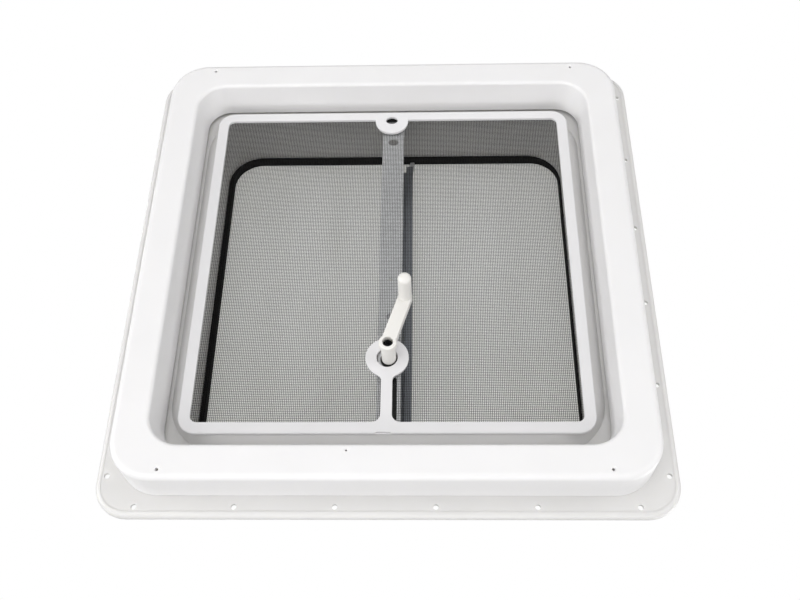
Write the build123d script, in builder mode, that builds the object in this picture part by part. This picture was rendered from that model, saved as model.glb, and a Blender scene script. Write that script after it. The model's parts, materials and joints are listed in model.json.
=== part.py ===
"""Manual crank roof vent for a 14 inch (355.6 mm) roof opening, closed.

Frame: millimetres, +Z up and out of the roof. The origin is the centre of the
roof opening, on the underside of the roof flange. The hinge side is +Y, the
lid's free edge is -Y, and the room is below, at -Z.
"""
import os
from math import atan2, cos, degrees, hypot, pi, radians, sin

from build123d import *

os.makedirs("parts", exist_ok=True)

# ---------------------------------------------------------------- dimensions
# Roof base: flange, throat and curb in one moulding
FLANGE = 457.0              # 18 inch square flange
FLANGE_R = 28.0
FLANGE_T = 3.0
RIM_H = 6.0                 # upturned edge of the flange
RIM_W = 5.0
RIM_FILLET = 4.5
RIM_EDGE = 0.8
RIM_GROOVE_W = 1.2          # shallow line just inside the rim's rounding
RIM_GROOVE_D = 0.4
HOLE_PITCH = 78.0           # six screw holes a side
HOLE_ROW = 220.0
HOLE_R = 2.2
THROAT = 327.0              # clear air opening
THROAT_R = 30.0
THROAT_DROP = 12.8          # the throat hangs this far below the flange
THROAT_WALL = 2.5
SHOULDER = 352.6            # the throat's root at the flange, just inside 14 inches
SHOULDER_R = 44.0
CURB_FOOT = 334.0
CURB_TOP = 338.0
CURB_R = 33.5
CURB_H = 51.5
TAPER_FROM = 18.0           # the bore widens above this height
TOP_BORE = 332.0
GUSSET_H = 26.0
GUSSET_OUT = 10.0
GUSSET_T = 2.4
GUSSET_TOE = 3.0
GUSSET_TOP = 1.2
GUSSET_ROOT = 1.0           # runs this far into the curb and the flange
GUSSETS = (-110.0, -37.0, 37.0, 110.0)

# Ceiling garnish
GARNISH = 422.0
GARNISH_R = 34.0
GARNISH_H = 36.0
GARNISH_WALL = 2.2
FACE_FILLET = 5.0
LIP = 366.0                 # inner edge at the face
LIP_R = 26.0
LIP_FILLET = 3.0
SLEEVE = 356.0              # inner edge at the flange
SLEEVE_R = 21.0
SLEEVE_DRAFT = degrees(atan2((LIP - SLEEVE) / 2, GARNISH_H))
SLEEVE_GAP = 3.5            # the sleeve stops this far short of the flange
GARNISH_SCREW_X = 170.5
GARNISH_SCREW_Y = 203.0
GARNISH_HOLE_R = 1.1
COUNTERSINK_R = 2.1
BOSS_R = 4.0
PINHOLE = (-28.5, 188.2)
PINHOLE_R = 0.8

# Screen
SCREEN = 332.0
SCREEN_R = 15.0
SCREEN_IN = 312.6
SCREEN_IN_R = 6.0
SCREEN_T = 3.0
SCREEN_EDGE = 1.2
SCREEN_FACE = 3.0           # edges farther out than this from the opening are rounded
MESH = 322.0
MESH_T = 0.5
MESH_R = 8.0
MESH_PLAY = 0.3
REBATE = 0.6
RING_Y = 99.0
RING_OD = 35.5
RING_HOLE = 17.5
STEM_W = 9.2
STEM_Y0 = RING_Y + 12.0
STEM_Y1 = SCREEN_IN / 2 + 2.0
STEM_FILLET = 5.0           # where the stem meets the ring
STEM_FOOT = 7.0             # and the frame
TAB_Y = -155.5
TAB_R = 15.5
TAB_HOLE = (5.6, 4.4)       # half axes of its oval hole
EJECTORS = ((-61.9, 161.8), (55.9, 161.8))
EJECTOR_R = 3.1
EJECTOR_D = 0.15
NOTCH_X = -2.0
NOTCH_W = 12.0
NOTCH_D = 1.3
TONGUE_W = 12.0
TONGUE_T = 1.8
TONGUE_H = 11.0
TONGUE_AT = 100.0
TONGUE_IN = 1.1             # tongue centreline inside the throat's wall

# Drive: cross bar, gearbox and crank
DRIVE_X = 1.5
BAR_W = 20.0
BAR_T = 1.5
BAR_Z = -11.0               # room side of the bar
BAR_EAR = 27.0
BEND_R = 0.9
RIVET_R = 1.6               # rivet shanks and their holes
RIVET_Z = 12.5
BAR_RIVET_DX = 5.5
BAR_SLOT = (9.5, 7.6)
BAR_SLOT_R = 3.7
BAR_SLOT_Y = -132.7
BAR_HOLES_Y = (21.0, TAB_Y)
BAR_HOLE_R = 1.75
FOOT_SCREWS_Y = (58.0, 157.5)
FOOT_HOLE_R = 1.7
FOOT_SCREW_R = 1.4
SHAFT_BUSH_R = 5.0
TOP_BUSH_R = 4.0
WINDOW_W = 13.0
WINDOW_Y0 = 114.6
WINDOW_Y1 = 153.4
WINDOW_R = 2.0
WORM_Y = RING_Y
MODULE = 1.0
TEETH = 24
WORM_PITCH_R = 4.5
WHEEL_PITCH_R = MODULE * TEETH / 2
LEAD = pi * MODULE
PIVOT_Y = WORM_Y - WORM_PITCH_R - WHEEL_PITCH_R
PIVOT_Z = 8.0
BOX_HALF_W = 7.7
BOX_TOP = 25.0
BOX_Y0 = 64.0
BOX_Y1 = 110.0
COVER_T = 2.5
AXLE_R = 3.0
ARM_T = 2.5
ARM_W = 13.0
ARM_TIP_R = 3.6
ARM_GAP = 0.5               # between the gearbox cover and the arm

# Lid
LID_X = 380.0
LID_FRONT = -190.0
LID_REAR = 178.0
LID_R = 34.0
LID_T = 2.5
LID_INSIDE = 60.5           # height of the flat inner face
SKIRT_Z = 36.0
REAR_SKIRT_Z = 49.0
GASKET_IN = 326.4
GASKET_W = 9.0
GASKET_GAP = 0.2
GASKET_X = 1.6              # glued a little off centre
GASKET_R = 27.0

# Hinge
HINGE_Y = 188.0
HINGE_X = 110.0
PIN_R = 2.0
EAR_T = 1.8
BRACKET_W = 28.0
LEAF_W = 20.0
KNUCKLE_R = 4.5
BRACKET_RIVET_DX = 8.0
BRACKET_RIVET_Y = 200.0
LEAF_RIVET_Z = 52.3
LEAF_RIVET_DX = 4.5

# Track on the lid. Its centreline passes through the hinge axis, and the arm is
# as long as the distance between the two axes: the arm then turns exactly twice
# as far as the lid.
TRACK_H = 11.0
TRACK_SHEET = 1.2
HINGE_Z = LID_INSIDE - TRACK_H / 2
ARM_L = hypot(HINGE_Y - PIVOT_Y, HINGE_Z - PIVOT_Z)
ARM_RISE = degrees(atan2(HINGE_Z - PIVOT_Z, HINGE_Y - PIVOT_Y))
ROLLER_Y = 2 * PIVOT_Y - HINGE_Y
ROLLER_R = 4.0
ROLLER_PIN_R = 1.5
ROLLER_W = 4.5
ARM_X0 = DRIVE_X + BOX_HALF_W + ARM_GAP
ARM_X1 = ARM_X0 + ARM_T
ROLLER_GAP = 0.4            # between the arm and the roller
ROLLER_X0 = ARM_X1 + ROLLER_GAP
PIN_HEAD_R = 2.4
PIN_HEAD_T = 0.6
TRACK_X0 = ARM_X1 + 0.3
TRACK_X1 = ROLLER_X0 + ROLLER_W + 0.5 + TRACK_SHEET
TRACK_MOUNT_X0 = TRACK_X0 - 12.0
TRACK_RIVET_X = TRACK_MOUNT_X0 + 4.0
TRACK_Y0 = -152.0
TRACK_Y1 = 156.0
TRACK_RIVETS_Y = (-120.0, -40.0, 40.0, 120.0)


def square_ring(outer, outer_r, inner, inner_r):
    """Sketch of a rounded square with a rounded square hole."""
    RectangleRounded(outer, outer, outer_r)
    RectangleRounded(inner, inner, inner_r, mode=Mode.SUBTRACT)


def side_holes():
    """Centres of the six holes on each of the four flange sides."""
    steps = [HOLE_PITCH * (i - 2.5) for i in range(6)]
    rows = [(s, y) for s in steps for y in (-HOLE_ROW, HOLE_ROW)]
    columns = [(x, s) for s in steps for x in (-HOLE_ROW, HOLE_ROW)]
    return rows + columns


def side_plane(x):
    """Plane across X at x: its own x runs along +Y and its own y along +Z."""
    return Plane(origin=(x, 0, 0), x_dir=(0, 1, 0), z_dir=(1, 0, 0))


def save(part, name):
    """Label a finished piece and write its STEP file."""
    part.label = name
    export_step(part, f"parts/{name}.step")


BAR_RIVETS_X = (DRIVE_X - BAR_RIVET_DX, DRIVE_X + BAR_RIVET_DX)
bracket_rivet_places = [(side * HINGE_X + dx, BRACKET_RIVET_Y)
                        for side in (-1, 1) for dx in (-BRACKET_RIVET_DX, BRACKET_RIVET_DX)]

# ----------------------------------------------------------------- roof base
with BuildPart() as roof_base:
    with BuildSketch(Plane.XY):
        RectangleRounded(FLANGE, FLANGE, FLANGE_R)
    extrude(amount=RIM_H)
    fillet(roof_base.edges().group_by(Axis.Z)[0], RIM_FILLET)
    fillet(roof_base.edges().group_by(Axis.Z)[-1], RIM_EDGE)
    with BuildSketch(Plane.XY):
        groove = FLANGE - 2 * RIM_FILLET
        square_ring(groove, FLANGE_R - RIM_FILLET,
                    groove - 2 * RIM_GROOVE_W, FLANGE_R - RIM_FILLET - RIM_GROOVE_W)
    extrude(amount=RIM_GROOVE_D, mode=Mode.SUBTRACT)
    with BuildSketch(Plane.XY.offset(FLANGE_T)):
        RectangleRounded(FLANGE - 2 * RIM_W, FLANGE - 2 * RIM_W, FLANGE_R - RIM_W)
    extrude(amount=RIM_H, mode=Mode.SUBTRACT)
    # curb, slightly wider at the top, with gussets down to the flange
    with BuildSketch(Plane.XY):
        RectangleRounded(CURB_FOOT, CURB_FOOT, CURB_R)
    flare = degrees(atan2((CURB_TOP - CURB_FOOT) / 2, CURB_H))
    extrude(amount=CURB_H, taper=-flare)
    for turn in range(4):
        gusset = Plane.XY.rotated((0, 0, 90 * turn))
        for step in GUSSETS:
            with BuildSketch(Plane(gusset.origin + gusset.x_dir * (step - GUSSET_T / 2),
                                   x_dir=gusset.y_dir, z_dir=gusset.x_dir)):
                with BuildLine():
                    Polyline((CURB_FOOT / 2 - GUSSET_ROOT, FLANGE_T - GUSSET_ROOT),
                             (CURB_FOOT / 2 + GUSSET_OUT, FLANGE_T - GUSSET_ROOT),
                             (CURB_FOOT / 2 + GUSSET_OUT, FLANGE_T + GUSSET_TOE),
                             (CURB_FOOT / 2 + GUSSET_TOP, FLANGE_T + GUSSET_H),
                             (CURB_FOOT / 2 - GUSSET_ROOT, FLANGE_T + GUSSET_H), close=True)
                make_face()
            extrude(amount=GUSSET_T)
    # sloping shoulder and the throat below the flange
    with BuildSketch(Plane.XY):
        RectangleRounded(SHOULDER, SHOULDER, SHOULDER_R)
    slope = degrees(atan2(SHOULDER / 2 - THROAT / 2 - THROAT_WALL, THROAT_DROP))
    extrude(amount=-THROAT_DROP, taper=slope)
    with BuildSketch(Plane.XY.offset(-THROAT_DROP)):
        RectangleRounded(THROAT, THROAT, THROAT_R)
    extrude(amount=THROAT_DROP + TAPER_FROM, mode=Mode.SUBTRACT)
    with BuildSketch(Plane.XY.offset(TAPER_FROM)):
        RectangleRounded(THROAT, THROAT, THROAT_R)
    widen = degrees(atan2((TOP_BORE - THROAT) / 2, CURB_H - TAPER_FROM))
    extrude(amount=CURB_H - TAPER_FROM, taper=-widen, mode=Mode.SUBTRACT)
    with BuildSketch(Plane.XY):
        with Locations(*side_holes()):
            Circle(HOLE_R)
    extrude(amount=FLANGE_T, mode=Mode.SUBTRACT)
    # rivet holes for the cross bar and for the hinge brackets
    with BuildSketch(Plane.XZ.offset(-FLANGE / 2)):
        with Locations(*[(x, RIVET_Z) for x in BAR_RIVETS_X]):
            Circle(RIVET_R)
    extrude(amount=FLANGE, mode=Mode.SUBTRACT)
    with BuildSketch(Plane.XY):
        with Locations(*bracket_rivet_places):
            Circle(RIVET_R)
    extrude(amount=FLANGE_T, mode=Mode.SUBTRACT)
save(roof_base.part, "roof_base")

# ------------------------------------------------------------ ceiling garnish
garnish_holes = [(x, y) for x in (-GARNISH_SCREW_X, GARNISH_SCREW_X)
                 for y in (-GARNISH_SCREW_Y, GARNISH_SCREW_Y)]
inside = GARNISH - 2 * GARNISH_WALL
with BuildPart() as garnish_hollow:
    with BuildSketch(Plane.XY):
        RectangleRounded(inside, inside, GARNISH_R - GARNISH_WALL)
    extrude(amount=GARNISH_WALL - GARNISH_H)
    with BuildSketch(Plane.XY):
        sleeve_out = SLEEVE + 2 * GARNISH_WALL
        RectangleRounded(sleeve_out, sleeve_out, SLEEVE_R + GARNISH_WALL)
    extrude(amount=-GARNISH_H, taper=-SLEEVE_DRAFT, mode=Mode.SUBTRACT)
    with Locations(*[(x, y, -GARNISH_H / 2) for x, y in garnish_holes]):
        Cylinder(BOSS_R, GARNISH_H, mode=Mode.SUBTRACT)
    with BuildSketch(Plane.XY):
        RectangleRounded(inside, inside, GARNISH_R - GARNISH_WALL)
    extrude(amount=-SLEEVE_GAP)

with BuildPart() as garnish:
    with BuildSketch(Plane.XY.offset(-GARNISH_H)):
        RectangleRounded(GARNISH, GARNISH, GARNISH_R)
    extrude(amount=GARNISH_H)
    fillet(garnish.edges().group_by(Axis.Z)[0], FACE_FILLET)
    with BuildSketch(Plane.XY.offset(-GARNISH_H)):
        RectangleRounded(LIP, LIP, LIP_R)
    extrude(amount=GARNISH_H, taper=SLEEVE_DRAFT, mode=Mode.SUBTRACT)
    lip_edges = garnish.edges().group_by(Axis.Z)[0].filter_by(
        lambda e: max(abs(e.center().X), abs(e.center().Y)) < LIP / 2 + 1)
    fillet(lip_edges, LIP_FILLET)
    add(garnish_hollow.part, mode=Mode.SUBTRACT)
    with BuildSketch(Plane.XY.offset(-GARNISH_H)):
        with Locations(*garnish_holes):
            Circle(COUNTERSINK_R)
    extrude(amount=COUNTERSINK_R - GARNISH_HOLE_R, taper=45, mode=Mode.SUBTRACT)
    with Locations(*[(x, y, -GARNISH_H / 2) for x, y in garnish_holes]):
        Cylinder(GARNISH_HOLE_R, GARNISH_H, mode=Mode.SUBTRACT)
    with Locations((*PINHOLE, -GARNISH_H)):
        Cylinder(PINHOLE_R, 4 * GARNISH_WALL, mode=Mode.SUBTRACT)
save(garnish.part, "ceiling_garnish")

# --------------------------------------------------------------------- screen
SCREEN_Z0 = -THROAT_DROP - SCREEN_T
with BuildPart() as screen_frame:
    with BuildSketch(Plane.XY.offset(SCREEN_Z0)) as frame_sketch:
        square_ring(SCREEN, SCREEN_R, SCREEN_IN, SCREEN_IN_R)
        with Locations((0, RING_Y)):
            Circle(RING_OD / 2)
        with Locations((0, (STEM_Y0 + STEM_Y1) / 2)):
            Rectangle(STEM_W, STEM_Y1 - STEM_Y0)
        corners = frame_sketch.vertices().filter_by(
            lambda v: abs(abs(v.X) - STEM_W / 2) < 0.01 and v.Y > RING_Y).sort_by(Axis.Y)
        fillet(corners[:2], STEM_FILLET)
        feet = frame_sketch.vertices().filter_by(
            lambda v: abs(abs(v.X) - STEM_W / 2) < 0.01 and v.Y > STEM_Y1 - STEM_FOOT)
        fillet(feet, STEM_FOOT)
        with Locations((0, TAB_Y)):
            Circle(TAB_R)
        with Locations((0, -SCREEN / 2 - TAB_R)):
            Rectangle(2 * TAB_R, 2 * TAB_R, mode=Mode.SUBTRACT)
        with Locations((0, RING_Y)):
            Circle(RING_HOLE / 2, mode=Mode.SUBTRACT)
        with Locations((0, TAB_Y)):
            Ellipse(*TAB_HOLE, mode=Mode.SUBTRACT)
    extrude(amount=SCREEN_T)
    fillet(screen_frame.edges().group_by(Axis.Z)[0].filter_by(
        lambda e: max(abs(e.center().X), abs(e.center().Y)) > SCREEN_IN / 2 + SCREEN_FACE), SCREEN_EDGE)
    with BuildSketch(Plane.XY.offset(-THROAT_DROP - REBATE)):
        RectangleRounded(MESH, MESH, MESH_R)
    extrude(amount=REBATE, mode=Mode.SUBTRACT)
    # shallow ejector marks, and a notch to lift the frame by
    with BuildSketch(Plane.XY.offset(SCREEN_Z0)):
        with Locations(*EJECTORS):
            Circle(EJECTOR_R)
    extrude(amount=EJECTOR_D, mode=Mode.SUBTRACT)
    with BuildSketch(Plane.XY.offset(SCREEN_Z0)):
        with Locations((NOTCH_X, SCREEN / 2)):
            RectangleRounded(NOTCH_W, 2 * NOTCH_D, 1)
    extrude(amount=SCREEN_T / 2, mode=Mode.SUBTRACT)
    # tongues that grip the inside of the throat
    with BuildSketch(Plane.XY.offset(-THROAT_DROP - 1)):
        reach = THROAT / 2 - TONGUE_IN
        for end in (-reach, reach):
            for step in (-TONGUE_AT, TONGUE_AT):
                with Locations((step, end)):
                    Rectangle(TONGUE_W, TONGUE_T)
                with Locations((end, step)):
                    Rectangle(TONGUE_T, TONGUE_W)
    extrude(amount=TONGUE_H)
save(screen_frame.part, "screen_frame")

with BuildPart() as screen_mesh:
    with BuildSketch(Plane.XY.offset(-THROAT_DROP - REBATE)):
        RectangleRounded(MESH - 2 * MESH_PLAY, MESH - 2 * MESH_PLAY, MESH_R - MESH_PLAY)
        with Locations((0, RING_Y)):
            Circle(RING_HOLE / 2 + 1, mode=Mode.SUBTRACT)
    extrude(amount=MESH_T)
save(screen_mesh.part, "screen_mesh")

# ------------------------------------------------------------------ cross bar
BAR_TOP = BAR_Z + BAR_T
with BuildPart() as cross_bar:
    with BuildSketch(side_plane(DRIVE_X - BAR_W / 2)):
        with BuildLine():
            Polyline((-THROAT / 2, BAR_Z + BAR_EAR), (-THROAT / 2, BAR_Z), (THROAT / 2, BAR_Z),
                     (THROAT / 2, BAR_Z + BAR_EAR), (THROAT / 2 - BAR_T, BAR_Z + BAR_EAR),
                     (THROAT / 2 - BAR_T, BAR_TOP), (BAR_T - THROAT / 2, BAR_TOP),
                     (BAR_T - THROAT / 2, BAR_Z + BAR_EAR), close=True)
        make_face()
    extrude(amount=BAR_W)
    bends = cross_bar.edges().filter_by(Axis.X)
    fillet(bends.filter_by(lambda e: abs(e.center().Z - BAR_Z) < 0.01), BEND_R + BAR_T)
    fillet(bends.filter_by(lambda e: abs(e.center().Z - BAR_TOP) < 0.01), BEND_R)
    with BuildSketch(Plane.XY.offset(BAR_Z)):
        with Locations((DRIVE_X, (WINDOW_Y0 + WINDOW_Y1) / 2)):
            RectangleRounded(WINDOW_W, WINDOW_Y1 - WINDOW_Y0, WINDOW_R)
        with Locations((DRIVE_X, WORM_Y)):
            Circle(SHAFT_BUSH_R)
        with Locations((DRIVE_X, BAR_SLOT_Y)):
            RectangleRounded(*BAR_SLOT, BAR_SLOT_R)
        with Locations(*[(DRIVE_X, y) for y in BAR_HOLES_Y]):
            Circle(BAR_HOLE_R)
        with Locations(*[(DRIVE_X, y) for y in FOOT_SCREWS_Y]):
            Circle(FOOT_HOLE_R)
    extrude(amount=BAR_T, mode=Mode.SUBTRACT)
    with BuildSketch(Plane.XZ.offset(-THROAT)):
        with Locations(*[(x, RIVET_Z) for x in BAR_RIVETS_X]):
            Circle(RIVET_R)
    extrude(amount=2 * THROAT, mode=Mode.SUBTRACT)
save(cross_bar.part, "cross_bar")


TAIL_H = 1.2
TAIL_R = RIVET_R + 0.9


def rivet_shape(name, places, grip, head_r=3.2, head_h=1.3):
    """Pop rivets: each place is a plane whose +z leaves the head side of the joint."""
    with BuildPart() as rivets:
        for place in places:
            with BuildSketch(place):
                Circle(head_r)
            extrude(amount=head_h, taper=35)
            with BuildSketch(place):
                Circle(RIVET_R)
            extrude(amount=-grip)
            with BuildSketch(place.offset(-grip)):
                Circle(TAIL_R)
            extrude(amount=-TAIL_H, taper=15)
    save(rivets.part, name)


wall_outer = CURB_FOOT / 2 + (CURB_TOP - CURB_FOOT) / 2 * RIVET_Z / CURB_H
bar_rivet_places = [Plane(origin=(x, side * (THROAT / 2 - BAR_T), RIVET_Z), z_dir=(0, -side, 0))
                    for side in (-1, 1) for x in BAR_RIVETS_X]
rivet_shape("bar_rivets", bar_rivet_places, wall_outer - THROAT / 2 + BAR_T + 0.15, head_h=1.0)

# -------------------------------------------------------------------- gearbox
BOX_X0 = DRIVE_X - BOX_HALF_W
BOX_X1 = DRIVE_X + BOX_HALF_W - COVER_T
COVER_SCREW_IN = 3.4        # screw centres in from the edges of the cover
COVER_SCREWS = [(y, z) for y in (BOX_Y0 + COVER_SCREW_IN, BOX_Y1 - COVER_SCREW_IN)
                for z in (BAR_TOP + COVER_SCREW_IN + 0.6, BOX_TOP - COVER_SCREW_IN)]
BOX_FILLET = 4.0
BOX_WALL = 2.6
RIB_T = 2.0
RIB_H = 3.0
RIB_Y1 = 150.0
WORM_ROOM_BACK = 3.0        # the square room is this far behind the worm
FOOT_Y0 = 51.0
FOOT_Y1 = 161.0
FOOT_T = 4.0
WHEEL_ROOM_R = WHEEL_PITCH_R + 1.9
WORM_ROOM_R = 6.3
AXLE_BUSH_R = 4.5
COVER_SCREW_R = 1.2
COVER_SCREW_L = 7.0
SCREW_HEAD_H = 1.4
WORM_ROOM_H = 22.0
WORM_ROOM_Z0 = PIVOT_Z - WORM_ROOM_H / 2

with BuildPart() as gearbox_housing:
    with BuildSketch(side_plane(BOX_X0)):
        with Locations(((BOX_Y0 + BOX_Y1) / 2, (BAR_TOP + BOX_TOP) / 2)):
            Rectangle(BOX_Y1 - BOX_Y0, BOX_TOP - BAR_TOP)
    extrude(amount=BOX_X1 - BOX_X0)
    fillet(gearbox_housing.edges().filter_by(Axis.X).group_by(Axis.Z)[-1], BOX_FILLET)
    with BuildSketch(Plane.XY.offset(BAR_TOP)):
        with Locations((DRIVE_X, (FOOT_Y0 + FOOT_Y1) / 2)):
            Rectangle(2 * BOX_HALF_W, FOOT_Y1 - FOOT_Y0)
        with Locations(((BOX_X1 + DRIVE_X + BOX_HALF_W) / 2, (BOX_Y0 + BOX_Y1) / 2)):
            Rectangle(COVER_T, BOX_Y1 - BOX_Y0, mode=Mode.SUBTRACT)
    extrude(amount=FOOT_T)
    # stiffening ribs along the foot
    for rib_x in (BOX_X0 + RIB_T / 2, DRIVE_X + BOX_HALF_W - RIB_T / 2):
        with BuildSketch(Plane.XY.offset(BAR_TOP + FOOT_T)):
            with Locations((rib_x, (BOX_Y1 + RIB_Y1) / 2)):
                Rectangle(RIB_T, RIB_Y1 - BOX_Y1)
        extrude(amount=RIB_H)
    # room for the wheel and the worm, open on the cover's side
    with BuildSketch(side_plane(BOX_X0 + BOX_WALL)):
        with Locations((PIVOT_Y, PIVOT_Z)):
            Circle(WHEEL_ROOM_R)
        with Locations((WORM_Y - WORM_ROOM_BACK, PIVOT_Z)):
            Rectangle(2 * WORM_ROOM_R, WORM_ROOM_H)
    extrude(amount=2 * BOX_HALF_W, mode=Mode.SUBTRACT)
    with BuildSketch(Plane.XY.offset(WORM_ROOM_Z0)):
        with Locations((DRIVE_X, WORM_Y)):
            Circle(WORM_ROOM_R)
    extrude(amount=WORM_ROOM_H, mode=Mode.SUBTRACT)
    # bearing seats and screw holes
    with BuildSketch(Plane.XY.offset(BAR_TOP - 1)):
        with Locations((DRIVE_X, WORM_Y)):
            Circle(SHAFT_BUSH_R)
    extrude(amount=WORM_ROOM_Z0 - BAR_TOP + 1, mode=Mode.SUBTRACT)
    with BuildSketch(Plane.XY.offset(WORM_ROOM_Z0 + WORM_ROOM_H)):
        with Locations((DRIVE_X, WORM_Y)):
            Circle(TOP_BUSH_R)
    extrude(amount=BOX_TOP, mode=Mode.SUBTRACT)
    with BuildSketch(side_plane(BOX_X0 - 1)):
        with Locations((PIVOT_Y, PIVOT_Z)):
            Circle(AXLE_BUSH_R)
    extrude(amount=2 * BOX_WALL, mode=Mode.SUBTRACT)
    with BuildSketch(side_plane(BOX_X1 - COVER_SCREW_L - 1)):
        with Locations(*COVER_SCREWS):
            Circle(COVER_SCREW_R)
    extrude(amount=COVER_SCREW_L + 1, mode=Mode.SUBTRACT)
    with BuildSketch(Plane.XY.offset(BAR_TOP)):
        with Locations(*[(DRIVE_X, y) for y in FOOT_SCREWS_Y]):
            Circle(FOOT_SCREW_R)
    extrude(amount=FOOT_T, mode=Mode.SUBTRACT)
save(gearbox_housing.part, "gearbox_housing")

with BuildPart() as cover_screws:
    for y, z in COVER_SCREWS:
        with BuildSketch(side_plane(BOX_X1 + COVER_T - SCREW_HEAD_H)):
            with Locations((y, z)):
                Circle(COVER_SCREW_R + 0.3)
        extrude(amount=SCREW_HEAD_H, taper=-38)
        with BuildSketch(side_plane(BOX_X1 - COVER_SCREW_L)):
            with Locations((y, z)):
                Circle(COVER_SCREW_R)
        extrude(amount=COVER_SCREW_L + COVER_T - SCREW_HEAD_H)
save(cover_screws.part, "cover_screws")

# The cover's screw seats are cut by the screws themselves.
with BuildPart() as gearbox_cover:
    with BuildSketch(side_plane(BOX_X1)):
        with Locations(((BOX_Y0 + BOX_Y1) / 2, (BAR_TOP + BOX_TOP) / 2)):
            Rectangle(BOX_Y1 - BOX_Y0, BOX_TOP - BAR_TOP)
        with Locations((PIVOT_Y, PIVOT_Z)):
            Circle(AXLE_BUSH_R, mode=Mode.SUBTRACT)
    extrude(amount=COVER_T)
    fillet(gearbox_cover.edges().filter_by(Axis.X).group_by(Axis.Z)[-1], BOX_FILLET)
    with BuildSketch(Plane.XY.offset(WORM_ROOM_Z0)):
        with Locations((DRIVE_X, WORM_Y)):
            Circle(WORM_ROOM_R)
    extrude(amount=WORM_ROOM_H, mode=Mode.SUBTRACT)
    add(cover_screws.part, mode=Mode.SUBTRACT)
save(gearbox_cover.part, "gearbox_cover")

FOOT_HEAD_R = 2.9
FOOT_HEAD_H = 1.6
with BuildPart() as foot_screws:
    for y in FOOT_SCREWS_Y:
        with BuildSketch(Plane.XY.offset(BAR_Z - FOOT_HEAD_H)):
            with Locations((DRIVE_X, y)):
                Circle(FOOT_HEAD_R)
        extrude(amount=FOOT_HEAD_H)
        with BuildSketch(Plane.XY.offset(BAR_Z)):
            with Locations((DRIVE_X, y)):
                Circle(FOOT_SCREW_R)
        extrude(amount=BAR_T + FOOT_T)
    fillet(foot_screws.edges().group_by(Axis.Z)[0], FOOT_HEAD_H - 0.7)
save(foot_screws.part, "foot_screws")


def bush(name, seats, bore_r, sleeve_r, sleeve_l, flange_r=0, flange_t=0):
    """Bushes whose sleeves run along each seat's +z, with an optional flange below."""
    with BuildPart() as bushes:
        for seat in seats:
            with BuildSketch(seat):
                Circle(sleeve_r)
            extrude(amount=sleeve_l)
            if flange_t:
                with BuildSketch(seat):
                    Circle(flange_r)
                extrude(amount=-flange_t)
            with BuildSketch(seat.offset(-flange_t)):
                Circle(bore_r)
            extrude(amount=flange_t + sleeve_l, mode=Mode.SUBTRACT)
    save(bushes.part, name)


SHAFT_R = 3.0
JOURNAL_R = 2.5
RUNNING_FIT = 0.05          # radial clearance of shafts and pins in their bores
bush("lower_shaft_bush", [Plane(origin=(DRIVE_X, WORM_Y, BAR_Z))],
     SHAFT_R + RUNNING_FIT, SHAFT_BUSH_R, WORM_ROOM_Z0 - BAR_Z - 0.4, flange_r=7.2, flange_t=1.2)
bush("upper_shaft_bush", [Plane(origin=(DRIVE_X, WORM_Y, BOX_TOP), z_dir=(0, 0, -1))],
     JOURNAL_R + RUNNING_FIT, TOP_BUSH_R, BOX_TOP - WORM_ROOM_Z0 - WORM_ROOM_H,
     flange_r=5.4, flange_t=1.0)
axle_seats = [Plane(origin=(BOX_X0, PIVOT_Y, PIVOT_Z), z_dir=(1, 0, 0)),
              Plane(origin=(DRIVE_X + BOX_HALF_W, PIVOT_Y, PIVOT_Z), z_dir=(-1, 0, 0))]
bush("axle_bushes", axle_seats, AXLE_R + RUNNING_FIT, AXLE_BUSH_R, COVER_T)

# ------------------------------------------------------------ worm and crank
HUB_R = 6.0
HUB_Z0 = -43.0
HUB_Z1 = -14.0
RECESS = 6.5                # depth of the screw recess in the hub
RECESS_R = 4.4
HUB_WEB = 2.0               # left between the recess and the shaft
SHAFT_END = HUB_Z0 + RECESS + HUB_WEB
WORM_HALF = 9.5
WORM_Z0 = PIVOT_Z - WORM_HALF
WORM_Z1 = PIVOT_Z + WORM_HALF
THREAD_TURNS = 7
THREAD_ROOT = 0.95          # half width of the thread at its root and at its tip
THREAD_TIP = 0.35
THREAD_SINK = 0.3
WORM_ROOT_R = 3.4
THREAD_R = 5.4
SQUARE = 4.8
CRANK_SCREW_R = 1.5
CRANK_SCREW_L = 11.0
CRANK_HEAD_R = 4.0
CRANK_HEAD_H = 2.8

# One thread; its gap faces the wheel's tooth at the height of the wheel's axle.
thread_start = PIVOT_Z + (0.75 - THREAD_TURNS // 2 - 1) * LEAD
with BuildPart() as worm_thread:
    with BuildLine() as thread_line:
        Helix(LEAD, THREAD_TURNS * LEAD, WORM_ROOT_R, center=(DRIVE_X, WORM_Y, thread_start))
    with BuildSketch(Plane(origin=(DRIVE_X + WORM_ROOT_R, WORM_Y, thread_start),
                           x_dir=(1, 0, 0), z_dir=(0, 1, 0))):
        with BuildLine():
            Polyline((-THREAD_SINK, -THREAD_ROOT), (THREAD_R - WORM_ROOT_R, -THREAD_TIP),
                     (THREAD_R - WORM_ROOT_R, THREAD_TIP), (-THREAD_SINK, THREAD_ROOT), close=True)
        make_face()
    sweep(path=thread_line.line, is_frenet=True)

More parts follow.
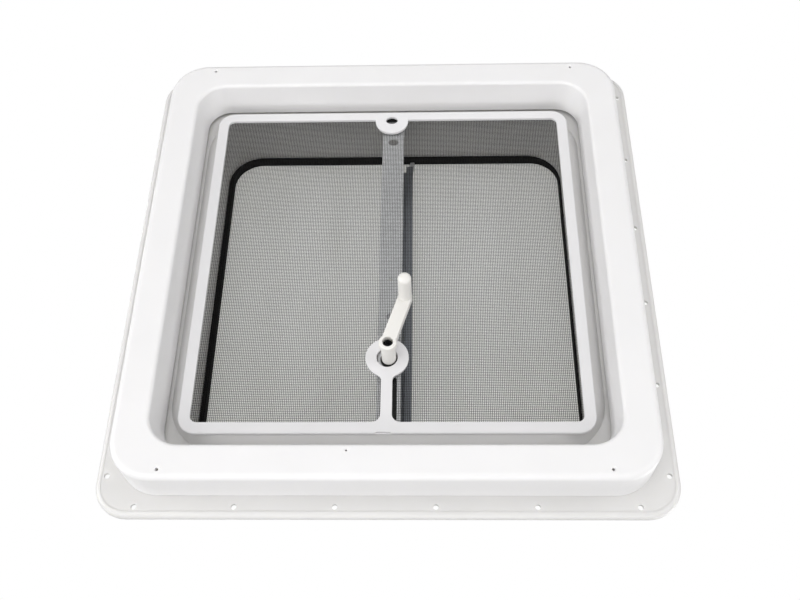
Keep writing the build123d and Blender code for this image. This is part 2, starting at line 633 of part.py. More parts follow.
with BuildPart() as worm_shaft:
    with BuildSketch(Plane.XY.offset(WORM_Z0)):
        with Locations((DRIVE_X, WORM_Y)):
            Circle(THREAD_R + 1)
    extrude(amount=WORM_Z1 - WORM_Z0)
    add(worm_thread.part, mode=Mode.INTERSECT)
    with BuildSketch(Plane.XY.offset(WORM_Z0)):
        with Locations((DRIVE_X, WORM_Y)):
            Circle(WORM_ROOT_R)
    extrude(amount=WORM_Z1 - WORM_Z0)
    with BuildSketch(Plane.XY.offset(HUB_Z1)):
        with Locations((DRIVE_X, WORM_Y)):
            Circle(SHAFT_R)
    extrude(amount=WORM_Z0 - HUB_Z1)
    with BuildSketch(Plane.XY.offset(WORM_Z1)):
        with Locations((DRIVE_X, WORM_Y)):
            Circle(JOURNAL_R)
    extrude(amount=BOX_TOP + 0.5 - WORM_Z1)
    with BuildSketch(Plane.XY.offset(SHAFT_END)):
        with Locations((DRIVE_X, WORM_Y)):
            Rectangle(SQUARE, SQUARE)
    extrude(amount=HUB_Z1 - SHAFT_END)
    with BuildSketch(Plane.XY.offset(SHAFT_END)):
        with Locations((DRIVE_X, WORM_Y)):
            Circle(CRANK_SCREW_R)
    extrude(amount=CRANK_SCREW_L - HUB_WEB, mode=Mode.SUBTRACT)
save(worm_shaft.part, "worm_shaft")

CRANK_REACH = 44.6
CRANK_TURN = 17.7           # the arm's turn from -Y towards +X
CRANK_ARM_Z1 = HUB_Z0 + 7.0
CRANK_EDGE = 1.2
CRANK_W = 11.6
KNOB_R = 5.5
KNOB_ROUND = 4.0
KNOB_Z0 = -72.5
knob_x = DRIVE_X + CRANK_REACH * sin(radians(CRANK_TURN))
knob_y = WORM_Y - CRANK_REACH * cos(radians(CRANK_TURN))
with BuildPart() as crank_handle:
    with BuildSketch(Plane.XY.offset(HUB_Z0)):
        with Locations((DRIVE_X, WORM_Y)):
            Circle(HUB_R)
    extrude(amount=HUB_Z1 - HUB_Z0)
    with BuildSketch(Plane.XY.offset(HUB_Z0)):
        with BuildLine():
            Line((DRIVE_X, WORM_Y), (knob_x, knob_y))
        trace(line_width=CRANK_W)
        with Locations((DRIVE_X, WORM_Y)):
            Circle(HUB_R + CRANK_EDGE)
        with Locations((knob_x, knob_y)):
            Circle(CRANK_W / 2)
    extrude(amount=CRANK_ARM_Z1 - HUB_Z0)
    fillet(crank_handle.edges().group_by(Axis.Z)[0], CRANK_EDGE)
    knob_axis = Plane(origin=(knob_x, knob_y, 0), x_dir=(1, 0, 0), z_dir=(0, -1, 0))
    with BuildSketch(knob_axis):
        with BuildLine():
            Line((0, KNOB_Z0), (KNOB_R - KNOB_ROUND, KNOB_Z0))
            RadiusArc((KNOB_R - KNOB_ROUND, KNOB_Z0), (KNOB_R, KNOB_Z0 + KNOB_ROUND), -KNOB_ROUND)
            Polyline((KNOB_R, KNOB_Z0 + KNOB_ROUND), (KNOB_R, CRANK_ARM_Z1 - 3),
                     (0, CRANK_ARM_Z1 - 3), (0, KNOB_Z0))
        make_face()
    revolve(axis=Axis((knob_x, knob_y, 0), (0, 0, 1)))
    with BuildSketch(Plane.XY.offset(HUB_Z1)):
        with Locations((DRIVE_X, WORM_Y)):
            Rectangle(SQUARE, SQUARE)
    extrude(amount=SHAFT_END - HUB_Z1, mode=Mode.SUBTRACT)
    with BuildSketch(Plane.XY.offset(HUB_Z0)):
        with Locations((DRIVE_X, WORM_Y)):
            Circle(RECESS_R)
    extrude(amount=RECESS, mode=Mode.SUBTRACT)
    with BuildSketch(Plane.XY.offset(HUB_Z0)):
        with Locations((DRIVE_X, WORM_Y)):
            Circle(CRANK_SCREW_R + 0.2)
    extrude(amount=RECESS + HUB_WEB, mode=Mode.SUBTRACT)
save(crank_handle.part, "crank_handle")

with BuildPart() as crank_screw:
    with BuildSketch(Plane.XY.offset(HUB_Z0 + RECESS)):
        with Locations((DRIVE_X, WORM_Y)):
            Circle(CRANK_HEAD_R)
    extrude(amount=-CRANK_HEAD_H)
    fillet(crank_screw.edges().group_by(Axis.Z)[0], CRANK_HEAD_H - 1.2)
    # cross recess
    with BuildSketch(Plane.XY.offset(HUB_Z0 + RECESS - CRANK_HEAD_H)):
        with Locations((DRIVE_X, WORM_Y)):
            Rectangle(3.4, 0.8)
            Rectangle(0.8, 3.4)
    extrude(amount=CRANK_HEAD_H - 1, mode=Mode.SUBTRACT)
    with BuildSketch(Plane.XY.offset(HUB_Z0 + RECESS)):
        with Locations((DRIVE_X, WORM_Y)):
            Circle(CRANK_SCREW_R)
    extrude(amount=CRANK_SCREW_L - 1)
save(crank_screw.part, "crank_screw")

# ------------------------------------------------------------- wheel and arm
WHEEL_T = 6.0
TOOTH_TIP_R = WHEEL_PITCH_R + 0.85
TOOTH_ROOT_R = WHEEL_PITCH_R - 1.2
TOOTH_ROOT = 0.85           # half width of a tooth at its root and at its tip
TOOTH_TIP = 0.3
WHEEL_HUB_R = 5.2
with BuildPart() as worm_wheel:
    with BuildSketch(side_plane(DRIVE_X - WHEEL_T / 2)):
        with Locations((PIVOT_Y, PIVOT_Z)):
            Circle(TOOTH_ROOT_R)
            with PolarLocations(0, TEETH):
                Polygon((TOOTH_ROOT_R - 0.4, -TOOTH_ROOT), (TOOTH_TIP_R, -TOOTH_TIP),
                        (TOOTH_TIP_R, TOOTH_TIP), (TOOTH_ROOT_R - 0.4, TOOTH_ROOT), align=None)
    extrude(amount=WHEEL_T)
    with BuildSketch(side_plane(BOX_X0 + 3)):
        with Locations((PIVOT_Y, PIVOT_Z)):
            Circle(WHEEL_HUB_R)
    extrude(amount=BOX_X1 - BOX_X0 - 3.4)
    with BuildSketch(side_plane(BOX_X0)):
        with Locations((PIVOT_Y, PIVOT_Z)):
            Circle(AXLE_R)
    extrude(amount=3 * BOX_HALF_W, mode=Mode.SUBTRACT)
save(worm_wheel.part, "worm_wheel")

AXLE_HEAD_R = 4.2
AXLE_HEAD_X = BOX_X0 - 2.4
AXLE_HEAD_T = 1.6
with BuildPart() as arm_axle:
    with BuildSketch(side_plane(AXLE_HEAD_X)):
        with Locations((PIVOT_Y, PIVOT_Z)):
            Circle(AXLE_R)
    extrude(amount=ARM_X1 + 0.6 - AXLE_HEAD_X)
    with BuildSketch(side_plane(AXLE_HEAD_X)):
        with Locations((PIVOT_Y, PIVOT_Z)):
            Circle(AXLE_HEAD_R)
    extrude(amount=AXLE_HEAD_T)
save(arm_axle.part, "arm_axle")

arm_plane = Plane(origin=(ARM_X0, PIVOT_Y, PIVOT_Z), z_dir=(1, 0, 0),
                  x_dir=(0, -cos(radians(ARM_RISE)), sin(radians(ARM_RISE))))
with BuildPart() as lift_arm:
    with BuildSketch(arm_plane):
        Circle(ARM_W / 2)
        with Locations((ARM_L, 0)):
            Circle(ARM_TIP_R)
        Polygon((0, -ARM_W / 2), (ARM_L, -ARM_TIP_R), (ARM_L, ARM_TIP_R), (0, ARM_W / 2), align=None)
        Circle(AXLE_R, mode=Mode.SUBTRACT)
        with Locations((ARM_L, 0)):
            Circle(ROLLER_PIN_R, mode=Mode.SUBTRACT)
    extrude(amount=ARM_T)
save(lift_arm.part, "lift_arm")

roller_plane = Plane(origin=(ARM_X0, ROLLER_Y, HINGE_Z), z_dir=(1, 0, 0), x_dir=(0, 1, 0))
with BuildPart() as roller_pin:
    with BuildSketch(roller_plane.offset(-PIN_HEAD_T)):
        Circle(PIN_HEAD_R)
    extrude(amount=PIN_HEAD_T)
    with BuildSketch(roller_plane):
        Circle(ROLLER_PIN_R)
    extrude(amount=ARM_T + ROLLER_GAP + ROLLER_W)
save(roller_pin.part, "roller_pin")

with BuildPart() as arm_roller:
    with BuildSketch(roller_plane.offset(ARM_T + ROLLER_GAP)):
        Circle(ROLLER_R)
        Circle(ROLLER_PIN_R + RUNNING_FIT, mode=Mode.SUBTRACT)
    extrude(amount=ROLLER_W)
    chamfer(arm_roller.edges().filter_by(GeomType.CIRCLE).filter_by(
        lambda e: e.radius > ROLLER_PIN_R + 1), 0.5)
save(arm_roller.part, "arm_roller")

# ------------------------------------------------------------------------ lid
lid_centre_y = (LID_FRONT + LID_REAR) / 2
lid_length = LID_REAR - LID_FRONT
LID_TOP = LID_INSIDE + LID_T
LID_FILLET = 7.0
CROWN_IN = 22.0             # the raised middle of the lid starts this far in
CROWN_SINK = 0.5
CROWN_H = 4.0
LID_RIBS_X = (-112.0, -56.0, 0.0, 56.0, 112.0)
LID_RIB_W = 14.0
LID_RIB_H = 1.6
LID_RIB_IN = 48.0
REAR_CUT = 35.0             # how far forward the rear skirt is short
STOP_SIDE = 4.0
with BuildPart() as lid:
    with BuildSketch(Plane.XY.offset(SKIRT_Z)):
        with Locations((0, lid_centre_y)):
            RectangleRounded(LID_X, lid_length, LID_R)
    extrude(amount=LID_TOP - SKIRT_Z)
    fillet(lid.edges().group_by(Axis.Z)[-1], LID_FILLET)
    with BuildSketch(Plane.XY.offset(LID_TOP - CROWN_SINK)):
        with Locations((0, lid_centre_y)):
            RectangleRounded(LID_X - 2 * CROWN_IN, lid_length - 2 * CROWN_IN, LID_R - 8)
    extrude(amount=CROWN_SINK + CROWN_H, taper=50)
    for rib_x in LID_RIBS_X:
        with BuildSketch(Plane.XY.offset(LID_TOP + CROWN_H - 1)):
            with Locations((rib_x, lid_centre_y)):
                SlotOverall(lid_length - 2 * LID_RIB_IN, LID_RIB_W, rotation=90)
        extrude(amount=1 + LID_RIB_H, taper=25)
    with BuildSketch(Plane.XY.offset(SKIRT_Z)):
        with Locations((0, lid_centre_y)):
            RectangleRounded(LID_X - 2 * LID_T, lid_length - 2 * LID_T, LID_R - LID_T)
    extrude(amount=LID_INSIDE - SKIRT_Z, mode=Mode.SUBTRACT)
    # small stop beside the far end of the track
    with BuildSketch(Plane.XY.offset(LID_INSIDE - TRACK_H)):
        with Locations((TRACK_X1 - 0.4, TRACK_Y0 - 3)):
            Rectangle(STOP_SIDE, STOP_SIDE)
    extrude(amount=TRACK_H + LID_T / 2)
    # the rear skirt is short, to swing clear of the curb
    with BuildSketch(Plane.XY.offset(SKIRT_Z)):
        with Locations((0, LID_REAR)):
            Rectangle(LID_X + 2 * LID_T, 2 * REAR_CUT)
    extrude(amount=REAR_SKIRT_Z - SKIRT_Z, mode=Mode.SUBTRACT)
    with BuildSketch(Plane.XY.offset(LID_INSIDE - 1)):
        with Locations(*[(TRACK_RIVET_X, y) for y in TRACK_RIVETS_Y]):
            Circle(RIVET_R)
    extrude(amount=LID_TOP + CROWN_H + LID_RIB_H - LID_INSIDE + 2, mode=Mode.SUBTRACT)
    with BuildSketch(Plane.XZ.offset(-LID_REAR - 1)):
        with Locations(*[(side * HINGE_X + dx, LEAF_RIVET_Z) for side in (-1, 1)
                         for dx in (-LEAF_RIVET_DX, LEAF_RIVET_DX)]):
            Circle(RIVET_R)
    extrude(amount=LID_T + 2, mode=Mode.SUBTRACT)
save(lid.part, "lid")

# Foam seal under the lid, resting on the curb.
with BuildPart() as lid_gasket:
    with BuildSketch(Plane.XY.offset(CURB_H + GASKET_GAP)):
        with Locations((GASKET_X, 0)):
            square_ring(GASKET_IN + 2 * GASKET_W, GASKET_R + GASKET_W, GASKET_IN, GASKET_R)
    extrude(amount=LID_INSIDE - CURB_H - GASKET_GAP)
save(lid_gasket.part, "lid_gasket")

with BuildPart() as lid_track:
    with BuildSketch(Plane.XZ.offset(-TRACK_Y1)):
        with BuildLine():
            Polyline((TRACK_MOUNT_X0, LID_INSIDE), (TRACK_X1, LID_INSIDE),
                     (TRACK_X1, LID_INSIDE - TRACK_H), (TRACK_X0, LID_INSIDE - TRACK_H),
                     (TRACK_X0, LID_INSIDE - TRACK_H + TRACK_SHEET),
                     (TRACK_X1 - TRACK_SHEET, LID_INSIDE - TRACK_H + TRACK_SHEET),
                     (TRACK_X1 - TRACK_SHEET, LID_INSIDE - TRACK_SHEET),
                     (TRACK_MOUNT_X0, LID_INSIDE - TRACK_SHEET), close=True)
        make_face()
    extrude(amount=TRACK_Y1 - TRACK_Y0)
    long_edges = lid_track.edges().filter_by(Axis.Y)
    fillet(long_edges.filter_by(lambda e: abs(e.center().X - TRACK_X1) < 0.01), 1.0)
    with BuildSketch(Plane.XY.offset(LID_INSIDE - 2 * TRACK_SHEET)):
        with Locations(*[(TRACK_RIVET_X, y) for y in TRACK_RIVETS_Y]):
            Circle(RIVET_R)
    extrude(amount=3 * TRACK_SHEET, mode=Mode.SUBTRACT)
save(lid_track.part, "lid_track")

rivet_shape("track_rivets",
            [Plane(origin=(TRACK_RIVET_X, y, LID_INSIDE - TRACK_SHEET), z_dir=(0, 0, -1))
             for y in TRACK_RIVETS_Y],
            LID_TOP + CROWN_H + 2.3 - LID_INSIDE + TRACK_SHEET, head_r=2.8)

# --------------------------------------------------------------------- hinges
BRACKET_FOOT_Y0 = 183.0
BRACKET_FOOT_Y1 = 211.0
PIN_HEAD = 1.4              # the hinge pin's head, in thickness and in extra radius
LEAF_Z1 = LID_TOP - 7.5
for side, label in ((-1, "left"), (1, "right")):
    centre_x = side * HINGE_X
    with BuildPart() as bracket:
        with BuildSketch(Plane.XY.offset(FLANGE_T)):
            with Locations((centre_x, (BRACKET_FOOT_Y0 + BRACKET_FOOT_Y1) / 2)):
                Rectangle(BRACKET_W, BRACKET_FOOT_Y1 - BRACKET_FOOT_Y0)
            with Locations(*bracket_rivet_places):
                Circle(RIVET_R, mode=Mode.SUBTRACT)
        extrude(amount=EAR_T)
        for ear_x in (centre_x - BRACKET_W / 2, centre_x + BRACKET_W / 2 - EAR_T):
            with BuildSketch(side_plane(ear_x)):
                with BuildLine():
                    Polyline((BRACKET_FOOT_Y0, FLANGE_T), (BRACKET_FOOT_Y1, FLANGE_T),
                             (BRACKET_FOOT_Y1, FLANGE_T + 8), (HINGE_Y + KNUCKLE_R, HINGE_Z - 8),
                             (HINGE_Y + KNUCKLE_R, HINGE_Z), (HINGE_Y - KNUCKLE_R, HINGE_Z),
                             (BRACKET_FOOT_Y0, HINGE_Z - 8), close=True)
                make_face()
                with Locations((HINGE_Y, HINGE_Z)):
                    Circle(KNUCKLE_R)
                    Circle(PIN_R, mode=Mode.SUBTRACT)
            extrude(amount=EAR_T)
    save(bracket.part, f"hinge_bracket_{label}")

    with BuildPart() as leaf:
        with BuildSketch(Plane.XZ.offset(-LID_REAR - EAR_T)):
            with Locations((centre_x, (REAR_SKIRT_Z + LEAF_Z1) / 2)):
                Rectangle(LEAF_W, LEAF_Z1 - REAR_SKIRT_Z)
        extrude(amount=EAR_T)
        for ear_x in (centre_x - LEAF_W / 2, centre_x + LEAF_W / 2 - EAR_T):
            with BuildSketch(side_plane(ear_x)):
                with BuildLine():
                    Polyline((LID_REAR, REAR_SKIRT_Z), (HINGE_Y, HINGE_Z - KNUCKLE_R),
                             (HINGE_Y, HINGE_Z + KNUCKLE_R), (LID_REAR, LEAF_Z1), close=True)
                make_face()
                with Locations((HINGE_Y, HINGE_Z)):
                    Circle(KNUCKLE_R)
                    Circle(PIN_R + RUNNING_FIT, mode=Mode.SUBTRACT)
            extrude(amount=EAR_T)
        with BuildSketch(Plane.XZ.offset(-LID_REAR - EAR_T - 1)):
            with Locations((centre_x - LEAF_RIVET_DX, LEAF_RIVET_Z),
                           (centre_x + LEAF_RIVET_DX, LEAF_RIVET_Z)):
                Circle(RIVET_R)
        extrude(amount=EAR_T + 2, mode=Mode.SUBTRACT)
    save(leaf.part, f"hinge_leaf_{label}")

    with BuildPart() as pin:
        with BuildSketch(side_plane(centre_x - BRACKET_W / 2 - PIN_HEAD)):
            with Locations((HINGE_Y, HINGE_Z)):
                Circle(PIN_R + PIN_HEAD)
        extrude(amount=PIN_HEAD)
        with BuildSketch(side_plane(centre_x - BRACKET_W / 2)):
            with Locations((HINGE_Y, HINGE_Z)):
                Circle(PIN_R)
        extrude(amount=BRACKET_W + 1.6)
    save(pin.part, f"hinge_pin_{label}")

rivet_shape("bracket_rivets",
            [Plane(origin=(x, y, FLANGE_T + EAR_T)) for x, y in bracket_rivet_places],
            FLANGE_T + EAR_T)
rivet_shape("leaf_rivets",
            [Plane(origin=(side * HINGE_X + dx, LID_REAR + EAR_T, LEAF_RIVET_Z), z_dir=(0, 1, 0))
             for side in (-1, 1) for dx in (-LEAF_RIVET_DX, LEAF_RIVET_DX)],
            LID_T + EAR_T, head_r=2.6, head_h=1.0)
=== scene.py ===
"""Crank roof vent, closed, seen from the room side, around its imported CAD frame.

Metres, in the CAD frame: +Z out of the roof, the room at -Z, the hinge side at +Y.
"""
import json
import math
import random

import bmesh
import bpy
from mathutils import Matrix, Vector

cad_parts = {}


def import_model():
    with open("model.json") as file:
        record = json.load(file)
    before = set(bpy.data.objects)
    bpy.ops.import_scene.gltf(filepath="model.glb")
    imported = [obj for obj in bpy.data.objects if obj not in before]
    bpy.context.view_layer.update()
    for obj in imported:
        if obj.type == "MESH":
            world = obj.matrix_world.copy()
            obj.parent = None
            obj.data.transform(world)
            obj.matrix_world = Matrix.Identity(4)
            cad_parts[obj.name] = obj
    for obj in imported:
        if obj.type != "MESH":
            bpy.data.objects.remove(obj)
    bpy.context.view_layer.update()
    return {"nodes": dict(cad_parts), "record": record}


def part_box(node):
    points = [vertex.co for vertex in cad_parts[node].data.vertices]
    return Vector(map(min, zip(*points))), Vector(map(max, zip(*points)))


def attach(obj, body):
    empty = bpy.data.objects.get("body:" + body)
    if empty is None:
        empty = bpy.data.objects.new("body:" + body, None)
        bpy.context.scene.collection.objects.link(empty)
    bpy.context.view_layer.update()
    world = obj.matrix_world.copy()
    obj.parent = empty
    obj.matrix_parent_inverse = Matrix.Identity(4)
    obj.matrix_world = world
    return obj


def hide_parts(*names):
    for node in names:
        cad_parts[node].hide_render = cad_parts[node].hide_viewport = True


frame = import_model()
NODES = frame["nodes"]
MM = 0.001


# ------------------------------------------------------------------ materials
class Shader:
    """A Principled material with helpers for the few nodes that the surfaces share."""

    def __init__(self, name, colour, roughness, metallic=0.0, specular=0.5):
        self.material = bpy.data.materials.new(name)
        self.material.use_nodes = True
        self.tree = self.material.node_tree
        self.out = next(n for n in self.tree.nodes if n.type == "BSDF_PRINCIPLED")
        self.set("Base Color", (*colour, 1))
        self.set("Roughness", roughness)
        self.set("Metallic", metallic)
        self.set("Specular IOR Level", specular)
        self.coords = self.tree.nodes.new("ShaderNodeTexCoord").outputs["Object"]

    def set(self, socket, value):
        """Set a constant on the Principled shader."""
        self.out.inputs[socket].default_value = value

    def node(self, kind, links, **values):
        """Add a node. links gives each input a socket or a constant, values its properties."""
        made = self.tree.nodes.new(kind)
        for key, value in values.items():
            setattr(made, key, value)
        for socket, value in links.items():
            target = made.inputs[socket]
            if isinstance(value, bpy.types.NodeSocket):
                self.tree.links.new(value, target)
            else:
                target.default_value = value
        return made

    def stretched(self, scale):
        """Object coordinates scaled per axis, for brushed or drawn patterns."""
        return self.node("ShaderNodeMapping", {"Vector": self.coords, "Scale": scale}).outputs[0]

    def noise(self, size, detail=3.0, coords=None):
        """Noise whose features are about size metres across."""
        links = {"Vector": coords or self.coords, "Scale": 1 / size, "Detail": detail}
        return self.node("ShaderNodeTexNoise", links).outputs["Fac"]

    def cells(self, size, output="Distance"):
        """Cells about size metres across."""
        links = {"Vector": self.coords, "Scale": 1 / size}
        return self.node("ShaderNodeTexVoronoi", links).outputs[output]

    def remap(self, value, low, high, start, end):
        """Map a pattern's span from start to end onto low to high."""
        links = {"Value": value, "From Min": start, "From Max": end, "To Min": low, "To Max": high}
        return self.node("ShaderNodeMapRange", links).outputs["Result"]

    def tint(self, value, dark, light, start=0.3, end=0.7):
        """Base colour that runs from dark to light with a pattern."""
        mix = self.node("ShaderNodeMix", {0: self.remap(value, 0, 1, start, end)}, data_type="RGBA")
        mix.inputs["A"].default_value = (*dark, 1)
        mix.inputs["B"].default_value = (*light, 1)
        self.tree.links.new(mix.outputs["Result"], self.out.inputs["Base Color"])

    def rough(self, value, low, high, start=0.3, end=0.7):
        """Roughness that runs from low to high with a pattern."""
        self.tree.links.new(self.remap(value, low, high, start, end), self.out.inputs["Roughness"])

    def bump(self, *layers):
        """Each layer is (height pattern, depth in metres)."""
        normal = None
        for pattern, depth in layers:
            links = {"Height": pattern, "Distance": depth, "Strength": 1.0}
            if normal:
                links["Normal"] = normal
            normal = self.node("ShaderNodeBump", links).outputs["Normal"]
        self.tree.links.new(normal, self.out.inputs["Normal"])


def linear(level):
    """One sRGB level from 0 to 255, as linear light."""
    part = level / 255
    return part / 12.92 if level < 10.3 else ((part + 0.055) / 1.055) ** 2.4


def shade(value):
    """A grey level or an sRGB triple from 0 to 255, as linear light."""
    levels = value if isinstance(value, tuple) else (value,) * 3
    return tuple(linear(level) for level in levels)


def moulded(name, colour, roughness, glow=0.0, grain=0.5, reach=4 * MM):
    """Satin injection-moulded plastic: fine spark-eroded grain, faint flow clouds.

    glow is the share of light that enters the plastic, grain the size of its texture
    in millimetres, and reach how far the light spreads inside, in metres.
    """
    s = Shader(name, shade(colour), roughness, specular=0.45)
    clouds = s.noise(60 * MM, 2.0)
    darker = tuple(c * 0.975 for c in shade(colour))
    s.tint(clouds, darker, shade(colour))
    s.rough(s.noise(2 * MM, 4.0), roughness - 0.05, roughness + 0.06)
    s.bump((s.noise(9 * MM, 1.0), 0.02 * MM), (s.noise(grain * MM, 2.0), 0.012 * MM))
    if glow:
        s.set("Subsurface Weight", glow)
        s.set("Subsurface Radius", (reach, reach, 0.9 * reach))
        s.set("Subsurface Scale", 1.0)
    return s.material


def metal(name, colour, roughness, drawn=(1, 1, 1), spangle=0.0, metallic=1.0):
    """Metal: zinc spangle of the given size where asked, and fine lines as it was drawn."""
    s = Shader(name, shade(colour), roughness, metallic=metallic)
    lines = s.noise(0.6 * MM, 3.0, s.stretched(drawn))
    if spangle:
        flakes = s.cells(spangle, output="Color")
        level = s.node("ShaderNodeSeparateColor", {"Color": flakes}).outputs[0]
        s.tint(level, tuple(c * 0.91 for c in shade(colour)), shade(colour), 0, 1)
        s.rough(level, roughness - 0.04, roughness + 0.05, 0, 1)
    else:
        s.tint(lines, tuple(c * 0.85 for c in shade(colour)), shade(colour))
        s.rough(lines, roughness - 0.06, roughness + 0.08)
    s.bump((lines, 0.01 * MM))
    return s.material


def foam():
    """Closed-cell sponge rubber: small open pores on a matt black skin, with painted shade darkening
    the pores.
    """
    s = Shader("foam_rubber", shade(9), 0.9, specular=0.06)
    pores = s.cells(0.9 * MM)
    # Painted shade: the pore centres are coloured darker than the skin, standing for shade inside the
    # pores; the bump below gives their dips.
    s.tint(pores, shade(3), shade(12), 0.1, 0.6)
    s.bump((pores, 0.15 * MM))
    return s.material


def yarn():
    """Coated glass-fibre yarn: near black, matt, a little uneven along its length."""
    s = Shader("insect_mesh", shade(12), 0.6, specular=0.15)
    s.tint(s.noise(14 * MM), shade(6), shade((18, 17, 16)))
    s.bump((s.noise(0.3 * MM, 1.0), 0.02 * MM))
    return s.material


def black_moulding():
    """Black satin plastic of the gearbox."""
    s = Shader("black_plastic", shade(30), 0.45, specular=0.4)
    s.tint(s.noise(20 * MM), shade(24), shade(38))
    s.rough(s.noise(1.5 * MM), 0.38, 0.55)
    s.bump((s.noise(0.5 * MM, 2.0), 0.015 * MM))
    return s.material


MATERIALS = {
    "white_plastic": moulded("white_plastic", (230, 229, 229), 0.42, glow=0.3),
    "screen_plastic": moulded("screen_plastic", (221, 220, 221), 0.40, glow=0.1),
    "lid_plastic": moulded("lid_plastic", (248, 247, 243), 0.48, glow=1.0, reach=45 * MM),
    "galvanised_steel": metal("galvanised_steel", (252, 253, 254), 0.5, spangle=4 * MM, metallic=0.04),
    "black_steel": metal("black_steel", (26, 26, 28), 0.4),
    "dark_steel": metal("dark_steel", (154, 158, 164), 0.42, drawn=(1, 0.05, 1)),
    "zinc_steel": metal("zinc_steel", (200, 200, 202), 0.35, drawn=(1, 1, 0.08)),
    "rivet_aluminium": metal("rivet_aluminium", (205, 206, 208), 0.38),
    "black_plastic": black_moulding(),
    "nylon": moulded("nylon", (226, 222, 208), 0.36, glow=0.3),
    "ivory_plastic": moulded("ivory_plastic", (226, 224, 220), 0.32, glow=0.15, grain=0.8),
    "foam_rubber": foam(),
    "insect_mesh": yarn(),
}
FLANGE_PLASTIC = moulded("flange_plastic", (214, 213, 212), 0.40, glow=0.5)

for part in frame["record"]["subparts"]:
    node = NODES[part["node"]]
    node.data.materials.clear()
    node.data.materials.append(MATERIALS[part["material_slot"]])
NODES["roof_base"].data.materials[0] = FLANGE_PLASTIC


# ---------------------------------------------------------------- insect mesh
YARN_R = 0.165 * MM
YARN_SIDES = 6
YARN_PITCH = 1.5 * MM
WEAVE = 0.10 * MM           # the two layers sit this far above and below the middle
YARN_STEP = 10 * MM         # length of a yarn between two of its sections
BORDER_W = 4.3 * MM         # sealed edge of the cloth, held in the frame's rebate
BORDER_T = 0.2 * MM
HUB_HOLE_R = 9.75 * MM
YARN_EDGE = 1 * MM          # the outermost yarns stay this far inside the cloth's edge
SWAY_COUNT = 4              # slow waves in the yarns: how many, how long, how far sideways
SWAY_WAVES = (3, 9)
SWAY_DEPTH = (0.1, 0.3)     # millimetres


def hub_hole():
    """Centre of the hole in the cloth around the crank's hub."""
    low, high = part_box("lower_shaft_bush")
    return Vector(((low.x + high.x) / 2, (low.y + high.y) / 2))


def box_mesh(mesh, low, high):
    """Add a closed box between two corners."""
    corners = [mesh.verts.new((x, y, z)) for z in (low[2], high[2])
               for x, y in ((low[0], low[1]), (high[0], low[1]), (high[0], high[1]), (low[0], high[1]))]
    faces = ((0, 1, 2, 3), (4, 5, 6, 7), (0, 1, 5, 4), (1, 2, 6, 5), (2, 3, 7, 6), (3, 0, 4, 7))
    for face in faces:
        mesh.faces.new([corners[i] for i in face])


def insect_mesh():
    """Woven cloth: two layers of six-sided yarns, bonded where they cross, slightly wavy."""
    low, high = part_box("screen_mesh")
    middle = (low + high) / 2
    hole = hub_hole()
    rng = random.Random(7)
    waves = [(rng.uniform(*SWAY_WAVES), rng.uniform(0, 6.28), rng.uniform(*SWAY_DEPTH) * MM)
             for _ in range(SWAY_COUNT)]
    mesh = bmesh.new()

    def sway(u, v):
        """Sideways drift of a yarn at v across and u along, smooth over the whole cloth."""
        return sum(depth * math.sin(2 * n * u + phase + 5 * v) * math.sin(n * v + phase)
                   for n, phase, depth in waves)

    def runs(across, along, base):
        """The stretches of one yarn, which stops at the hub hole."""
        gap = HUB_HOLE_R ** 2 - (base - hole[across]) ** 2
        if gap <= 0:
            return [(low[along], high[along])]
        half = math.sqrt(gap)
        return [(low[along], hole[along] - half), (hole[along] + half, high[along])]

    def yarn_run(across, along, base, start, end, z):
        """A six-sided tube from start to end that follows the sway."""
        steps = max(2, math.ceil((end - start) / YARN_STEP))
        v = (base - low[across]) / (high[across] - low[across])
        rings = []
        for k in range(steps + 1):
            at = start + (end - start) * k / steps
            u = (at - low[along]) / (high[along] - low[along])
            ring = []
            for side in range(YARN_SIDES):
                turn = 2 * math.pi * side / YARN_SIDES
                corner = [0.0, 0.0, z + YARN_R * math.sin(turn)]
                corner[along] = at
                corner[across] = base + sway(u, v) + YARN_R * math.cos(turn)
                ring.append(mesh.verts.new(corner))
            rings.append(ring)
        for a, b in zip(rings, rings[1:]):
            for k in range(YARN_SIDES):
                after = (k + 1) % YARN_SIDES
                mesh.faces.new((a[k], a[after], b[after], b[k]))
        mesh.faces.new(rings[0][::-1])
        mesh.faces.new(rings[-1])

    for across in (0, 1):
        along = 1 - across
        count = int((high[across] - low[across] - 2 * YARN_EDGE) / YARN_PITCH)
        first = middle[across] - (count - 1) / 2 * YARN_PITCH
        z = middle.z + (WEAVE if across else -WEAVE)
        for i in range(count):
            base = first + i * YARN_PITCH
            for start, end in runs(across, along, base):
                yarn_run(across, along, base, start, end, z)
    inner_low, inner_high = low.y + BORDER_W, high.y - BORDER_W
    strips = ((low.x, low.y, high.x, inner_low),
              (low.x, inner_high, high.x, high.y),
              (low.x, inner_low, low.x + BORDER_W, inner_high),
              (high.x - BORDER_W, inner_low, high.x, inner_high))
    for x0, y0, x1, y1 in strips:
        box_mesh(mesh, (x0, y0, high.z - BORDER_T), (x1, y1, high.z))
    bmesh.ops.recalc_face_normals(mesh, faces=mesh.faces)
    data = bpy.data.meshes.new("insect_cloth")
    mesh.to_mesh(data)
    cloth = bpy.data.objects.new("insect_cloth", data)
    bpy.context.scene.collection.objects.link(cloth)
    data.materials.append(MATERIALS["insect_mesh"])
    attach(cloth, "base")
    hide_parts("screen_mesh")


insect_mesh()


# ------------------------------------------------------------ stage and light
LAMP_SIDE = 1.0
FLOOR_HALF = 6.0
FLOOR_Z = -1.9
CAMERA_YAW, CAMERA_PITCH, CAMERA_ROLL = 3.412, 59.027, -3.225   # degrees
CAMERA_TARGET = Vector((9.388, 34.932, 0)) * MM
CAMERA_DISTANCE = 828.6 * MM
SENSOR_WIDTH = 36.0         # millimetres, as the lens
LENS = 43.03


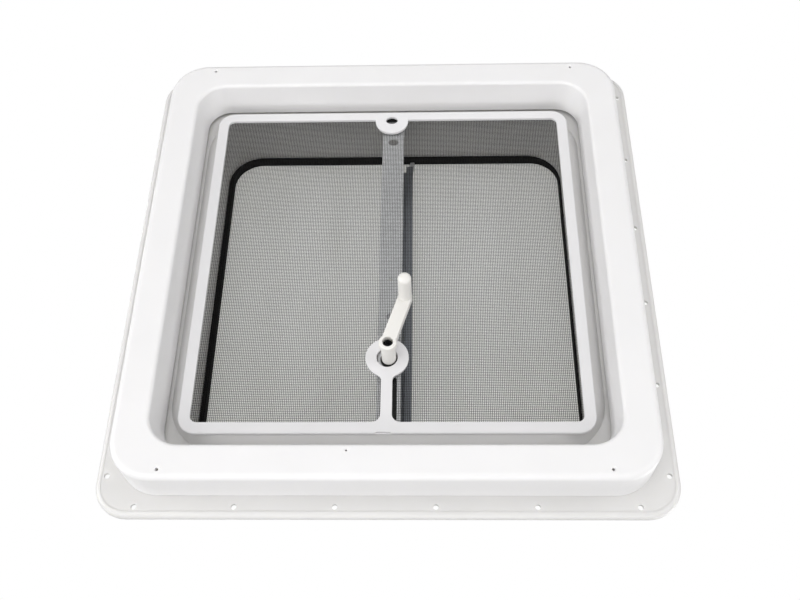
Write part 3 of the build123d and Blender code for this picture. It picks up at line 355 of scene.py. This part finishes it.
def area_light(name, place, power):
    """A square softbox that faces the vent."""
    data = bpy.data.lights.new(name, "AREA")
    data.shape = "SQUARE"
    data.size = LAMP_SIDE
    data.energy = power
    lamp = bpy.data.objects.new(name, data)
    bpy.context.scene.collection.objects.link(lamp)
    lamp.location = place
    lamp.rotation_mode = "QUATERNION"
    lamp.rotation_quaternion = (-Vector(place)).to_track_quat("-Z", "Y")


def floor():
    """A plain pale floor, a room's height below the roof opening."""
    data = bpy.data.meshes.new("floor")
    corners = [(x * FLOOR_HALF, y * FLOOR_HALF, FLOOR_Z)
               for x, y in ((-1, -1), (1, -1), (1, 1), (-1, 1))]
    data.from_pydata(corners, [], [(0, 1, 2, 3)])
    plane = bpy.data.objects.new("floor", data)
    bpy.context.scene.collection.objects.link(plane)
    s = Shader("floor", (0.9, 0.9, 0.9), 0.8)
    s.tint(s.noise(0.4), (0.88, 0.88, 0.88), (0.9, 0.9, 0.9))
    data.materials.append(s.material)


def world(ambient, backdrop):
    """Soft even light, with a white backdrop where the camera sees past the object."""
    w = bpy.data.worlds.new("studio")
    bpy.context.scene.world = w
    w.use_nodes = True
    tree = w.node_tree
    tree.nodes.clear()
    lit = tree.nodes.new("ShaderNodeBackground")
    lit.inputs["Strength"].default_value = ambient
    seen = tree.nodes.new("ShaderNodeBackground")
    seen.inputs["Strength"].default_value = backdrop
    for b in (lit, seen):
        b.inputs["Color"].default_value = (1, 1, 1, 1)
    path = tree.nodes.new("ShaderNodeLightPath")
    mix = tree.nodes.new("ShaderNodeMixShader")
    out = tree.nodes.new("ShaderNodeOutputWorld")
    tree.links.new(path.outputs["Is Camera Ray"], mix.inputs[0])
    tree.links.new(lit.outputs[0], mix.inputs[1])
    tree.links.new(seen.outputs[0], mix.inputs[2])
    tree.links.new(mix.outputs[0], out.inputs["Surface"])


def camera():
    """The room-side view: 59 degrees below the roof plane, rolled a little, as an upright picture."""
    yaw, pitch, roll = (math.radians(v) for v in (CAMERA_YAW, CAMERA_PITCH, CAMERA_ROLL))
    back = Vector((math.sin(yaw) * math.cos(pitch), math.cos(yaw) * math.cos(pitch), -math.sin(pitch)))
    level = Vector((math.cos(yaw), -math.sin(yaw), 0))
    rise = back.cross(level)
    right = math.cos(roll) * level + math.sin(roll) * rise
    up = -math.sin(roll) * level + math.cos(roll) * rise
    data = bpy.data.cameras.new("camera")
    data.sensor_width = SENSOR_WIDTH
    data.lens = LENS
    data.clip_start, data.clip_end = 0.01, 50
    cam = bpy.data.objects.new("camera", data)
    bpy.context.scene.collection.objects.link(cam)
    turn = Matrix((right, up, back)).transposed().to_4x4()
    cam.matrix_world = Matrix.Translation(CAMERA_TARGET + back * CAMERA_DISTANCE) @ turn
    bpy.context.scene.camera = cam


# Soft lamps in the room below the vent and above the roof: place, power in watts.
LAMPS = {
    "room_front_low": ((0, 1.6, -0.5), 12.9),
    "room_left_low": ((-1.6, 0, -0.45), 13.8),
    "room_right_low": ((1.6, 0, -0.45), 7.2),
    "room_front_left": ((-0.85, 0.85, -1.1), 6.0),
    "room_back": ((0, -1.15, -1.15), 3.0),
    "room_right": ((1.15, 0, -1.15), 4.4),
    "room_below": ((0, 0, -1.6), 3.4),
    "roof_key": ((-0.9, -1.1, 1.6), 27.0),
    "roof_fill": ((1.4, 0.8, 1.0), 13.5),
}

camera()
floor()
world(ambient=0.25, backdrop=1.0)
for lamp_name, (lamp_place, lamp_power) in LAMPS.items():
    area_light(lamp_name, lamp_place, lamp_power)
bpy.context.scene.view_settings.view_transform = "Standard"
